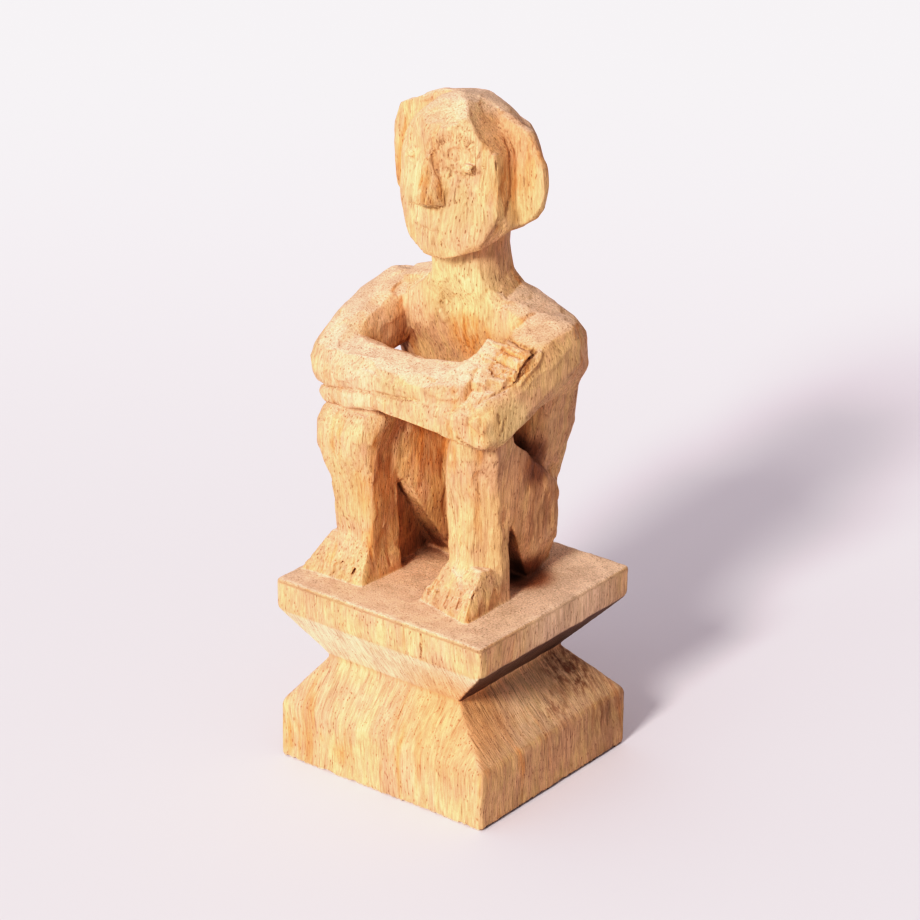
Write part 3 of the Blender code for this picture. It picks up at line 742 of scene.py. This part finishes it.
def wood():
    """Pale wood: streaks, fibres and pores run up the block, over broad warmer and paler areas. Painted light
    and painted shade lie on the colour.
    """
    made = bpy.data.materials.new(SLOT)
    s = Shading(made)
    place = s.scaled(s.node("TexCoord").outputs["Object"], (1 / MM,) * 3)
    waver = s.node("TexNoise", (("Vector", place), ("Scale", 0.035), ("Detail", 1.0))).outputs["Color"]
    waver = s.node("VectorMath", ((0, waver), (1, (0.5, 0.5, 0.5))), operation="SUBTRACT").outputs[0]
    bent = s.node("VectorMath", ((0, s.scaled(waver, (7, 7, 7))), (1, place)), operation="ADD").outputs[0]

    facing = s.node("SeparateXYZ", ((0, s.node("NewGeometry").outputs["Normal"]),))
    up = facing.outputs[2]
    left = s.ramp(facing.outputs[0], 0.25, 0.6)
    wide_x = s.math("ABSOLUTE", facing.outputs[0])
    wide_y = s.math("ABSOLUTE", facing.outputs[1])
    height = s.node("SeparateXYZ", ((0, place),)).outputs[2]
    plinth = s.ramp(height, SEAT - 1.5, SEAT - 0.5, 1.0, 0.0)
    sloped = s.math("MULTIPLY", plinth, s.ramp(s.math("ABSOLUTE", up), 0.80, 0.92, 1.0, 0.0))
    on_x = s.math("MULTIPLY", sloped, s.math("GREATER_THAN", wide_x, wide_y))
    on_y = s.math("SUBTRACT", sloped, on_x)

    def grain(across, along):
        """Coordinates that run with the grain, and down the plinth's slopes."""
        x = s.ramp(on_x, 0.0, 1.0, across, along)
        y = s.ramp(on_y, 0.0, 1.0, across, along)
        return s.scaled(bent, s.node("CombineXYZ", ((0, x), (1, y), (2, along))).outputs[0])

    broad = s.noise(bent, 0.055, 2.0)
    patch = s.noise(bent, 0.16, 3.0, 0.6)
    streak = s.noise(grain(0.42, 0.030), 1.0, 5.0, 0.62)
    stain = s.noise(grain(0.17, 0.022), 1.0, 3.0, 0.6)
    fibre = s.noise(grain(1.9, 0.20), 1.0, 4.0, 0.68)
    fuzz = s.noise(place, 2.6, 3.0, 0.7)
    cloud = s.noise(s.scaled(bent, (0.15, 0.15, 0.06)), 1.0, 3.0, 0.6)
    stroke = s.noise(grain(1.5, 0.11), 1.0, 2.0, 0.5)
    pore_place = s.scaled(bent, (1.25, 1.25, 0.42))
    cells = s.node("TexVoronoi", (("Vector", pore_place), ("Scale", 1.0), ("Randomness", 1.0)))
    pore = s.ramp(cells.outputs["Distance"], 0.12, 0.26, 1.0, 0.0)
    pore = s.math("MULTIPLY", pore, s.ramp(patch, 0.36, 0.60, 0.25, 1.0))

    end = s.ramp(up, 0.55, 0.95)

    warm = s.math("ADD", s.math("MULTIPLY", streak, 0.62), s.math("MULTIPLY", broad, 0.55))
    warm = s.math("ADD", warm, s.math("MULTIPLY", patch, 0.30))
    colour = s.mix(s.ramp(warm, 0.58, 0.88), PALE, TAN)
    colour = s.mix(s.ramp(stain, 0.55, 0.74, 0.0, 0.75), colour, ORANGE)
    # Faces that turn up show end grain, paler: partly its own colour, partly painted light.
    colour = s.mix(s.math("MULTIPLY", end, 0.75), colour, END_GRAIN_AND_PAINTED_LIGHT)
    # Paler where the plinth's faces turn down.
    down = s.math("MULTIPLY", plinth, s.ramp(up, -0.60, -0.30, 1.0, 0.0))
    colour = s.mix(s.math("MULTIPLY", down, 0.85), colour, PALE_UNDERSIDE)
    colour = tinted(s, place, bent, colour)
    # Painted shade on faces turned to the figure's left, where they turn down or near the back left corner.
    corner = (SHADED_PLACE[0], SHADED_PLACE[1], SHADED_PLACE[2] + SEAT)
    behind = s.math("MULTIPLY", s.near(place, corner, *SHADED_RADII), SHADED_SHARE)
    shaded = s.math("MULTIPLY", left, s.math("MAXIMUM", down, behind))
    colour = s.mix(shaded, colour, s.mix(1.0, colour, SHADED, "MULTIPLY"))
    colour = s.mix(s.math("MULTIPLY", pore, 0.62), colour, PORE_AND_PAINTED_SHADE)
    colour = darkened(s, colour, fibre, fuzz, cloud, stroke)
    # Painted shade: the wood is darker where its own form shuts the air in.
    hollow_shade = s.ramp(s.node("Attribute", attribute_name="hollow_shade").outputs["Fac"], 0.47, 0.80)
    colour = s.mix(hollow_shade, colour, s.mix(1.0, colour, PAINTED_HOLLOW_SHADE, "MULTIPLY"))
    # Dirt and painted shade in the cuts.
    dirt_and_shade = s.node("Attribute", attribute_name="dirt_and_shade").outputs["Fac"]
    colour = s.mix(s.math("MULTIPLY", dirt_and_shade, 0.8), colour, DIRT_AND_PAINTED_SHADE)

    bump = fine_relief(s, fibre, streak, fuzz, stroke, pore)
    shader = s.node("BsdfPrincipled", (("Base Color", colour), ("Normal", bump)))
    s.put(shader, "Specular IOR Level", 0.35)
    s.put(shader, "Roughness", s.ramp(fibre, 0.3, 0.7, 0.72, 0.52))
    s.node("OutputMaterial", ((0, shader.outputs[0]),))
    return made


def carve(carving):
    """Works the form into the carved one, and gives the list of the cuts made on purpose."""
    generator = np.random.default_rng(7)
    figure = ramp(heights(carving.points), 0.0, 1.5)
    everywhere = np.ones(len(figure))
    carving.ease(EASE_WHOLE, 0.5 * everywhere)
    carving.ease(EASE_FIGURE, 0.5 * figure)
    head = ramp(heights(carving.points), *NECK)
    nose = np.linalg.norm(carving.points - (np.array(NOSE_MIDDLE) + (0, 0, SEAT)), axis=1)
    carving.ease(EASE_HEAD, 0.5 * head * ramp(nose, NOSE_KEPT, NOSE_FREE))
    facets = np.zeros(len(figure))
    cut = np.flatnonzero(figure > 0)
    facets[cut] = knife_facets(carving.points[cut], carving.normals()[cut], generator)
    carving.push(facets * figure)
    carving.ease(EASE_FACETS, 0.5 * everywhere)
    carving.push(rough_wood(carving))
    ragged_foot(carving.points)
    cuts = all_cuts(generator)
    carving.push(-cut_fields(carving.points, cuts)[0])
    carving.points[:, 2] = np.maximum(carving.points[:, 2], 0.0)
    carving.store()
    return cuts


def carved_figure():
    """The carved piece that stands for the solid."""
    rough = Carving(refined(fine_copy(frame["nodes"][NODE])))
    cuts = carve(rough)
    mesh = thinned(rough.mesh, TRIANGLES)
    mesh.name = NODE + "_carved"
    final = Carving(mesh)
    dark = cut_fields(final.points, cuts)[1]
    # The dark of the cuts is dirt and painted shade, and the shut-in hollows get painted shade.
    for name, values in (("dirt_and_shade", dark), ("hollow_shade", hollow_shade_field(final))):
        made = mesh.attributes.new(name, "FLOAT", "POINT")
        made.data.foreach_set("value", values.astype(np.float32))
    mesh.materials.clear()
    mesh.materials.append(wood())
    piece = bpy.data.objects.new("carved_wood_figure", mesh)
    bpy.context.scene.collection.objects.link(piece)
    mesh.shade_smooth()
    return piece


# The camera, the light and the floor


def camera():
    """The camera in the place and with the lens that the photograph's perspective gives."""
    data = bpy.data.cameras.new("camera")
    data.sensor_width = SENSOR
    data.lens = LENS
    data.clip_end = 20
    made = bpy.data.objects.new("camera", data)
    bpy.context.scene.collection.objects.link(made)
    back = towards(AZIMUTH, ELEVATION)
    azimuth = math.radians(AZIMUTH)
    roll = math.radians(ROLL)
    right = Vector((math.cos(azimuth), math.sin(azimuth), 0))
    up = back.cross(right)
    turned_right = right * math.cos(roll) + up * math.sin(roll)
    turned_up = up * math.cos(roll) - right * math.sin(roll)
    place = Vector(TARGET) + back * DISTANCE
    made.matrix_world = Matrix((
        (turned_right.x, turned_up.x, back.x, place.x),
        (turned_right.y, turned_up.y, back.y, place.y),
        (turned_right.z, turned_up.z, back.z, place.z),
        (0, 0, 0, 1),
    ))
    bpy.context.scene.camera = made


def lamp(name, azimuth, elevation, strength, angle):
    """A sun lamp. The angle is how wide it looks from the object, in degrees."""
    data = bpy.data.lights.new(name, "SUN")
    data.energy = strength
    data.angle = math.radians(angle)
    data.color = LAMP_COLOUR
    made = bpy.data.objects.new(name, data)
    bpy.context.scene.collection.objects.link(made)
    made.rotation_mode = "QUATERNION"
    made.rotation_quaternion = towards(azimuth, elevation).to_track_quat("Z", "Y")


def light():
    """A soft lamp before the figure, a wide low one near it, and a sky brighter to the figure's right."""
    lamp("key", KEY_AZIMUTH, KEY_ELEVATION, KEY_STRENGTH, KEY_ANGLE)
    lamp("front", FRONT_AZIMUTH, FRONT_ELEVATION, FRONT_STRENGTH, FRONT_ANGLE)
    world = bpy.data.worlds.new("sky")
    bpy.context.scene.world = world
    world.use_nodes = True
    s = Shading(world)
    way = s.node("TexCoord").outputs["Generated"]
    facing = s.node("VectorMath", ((0, way), (1, SKY_BRIGHT_SIDE)), operation="DOT_PRODUCT").outputs["Value"]
    span = ((0, facing), (1, -1.0), (2, 1.0), (3, SKY_DARK), (4, SKY_BRIGHT))
    strength = s.node("MapRange", span).outputs[0]
    background = s.node("Background", (("Color", (*SKY_COLOUR, 1.0)), ("Strength", strength)))
    s.node("OutputWorld", ((0, background.outputs[0]),))


def tones():
    """Sets the picture's tone curve."""
    settings = bpy.context.scene.view_settings
    settings.view_transform = "Standard"
    settings.use_curve_mapping = True
    mapping = settings.curve_mapping
    mapping.clip_max_x = TONES[-1][0]
    mapping.clip_max_y = TONES[-1][0]
    curve = mapping.curves[3]
    curve.points[0].location = TONES[0]
    curve.points[1].location = TONES[-1]
    for place in TONES[1:-1]:
        curve.points.new(*place)
    mapping.update()


def floor():
    """A pale floor, with painted light that makes it paler away from the camera."""
    half = FLOOR_HALF
    corners = [(-half, -half, 0), (half, -half, 0), (half, half, 0), (-half, half, 0)]
    mesh = bpy.data.meshes.new("floor")
    mesh.from_pydata(corners, [], [(0, 1, 2, 3)])
    paint = bpy.data.materials.new("floor")
    s = Shading(paint)
    back = tuple(-towards(AZIMUTH, 0.0))
    place = s.node("TexCoord").outputs["Object"]
    far = s.node("VectorMath", ((0, place), (1, back)), operation="DOT_PRODUCT").outputs["Value"]
    colour = s.mix(s.ramp(far, *FLOOR_CHANGE), FLOOR_COLOUR, FLOOR_FAR_PAINTED_LIGHT)
    shader = s.node("BsdfPrincipled", (("Base Color", colour), ("Roughness", 0.9)))
    s.put(shader, "Specular IOR Level", 0.1)
    s.node("OutputMaterial", ((0, shader.outputs[0]),))
    mesh.materials.append(paint)
    made = bpy.data.objects.new("floor", mesh)
    bpy.context.scene.collection.objects.link(made)


def main():
    """Sets the scene up round the carved piece, which takes the solid's place in the frame."""
    tones()
    camera()
    light()
    floor()
    piece = carved_figure()
    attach(piece, "root")
    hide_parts(NODE)


main()
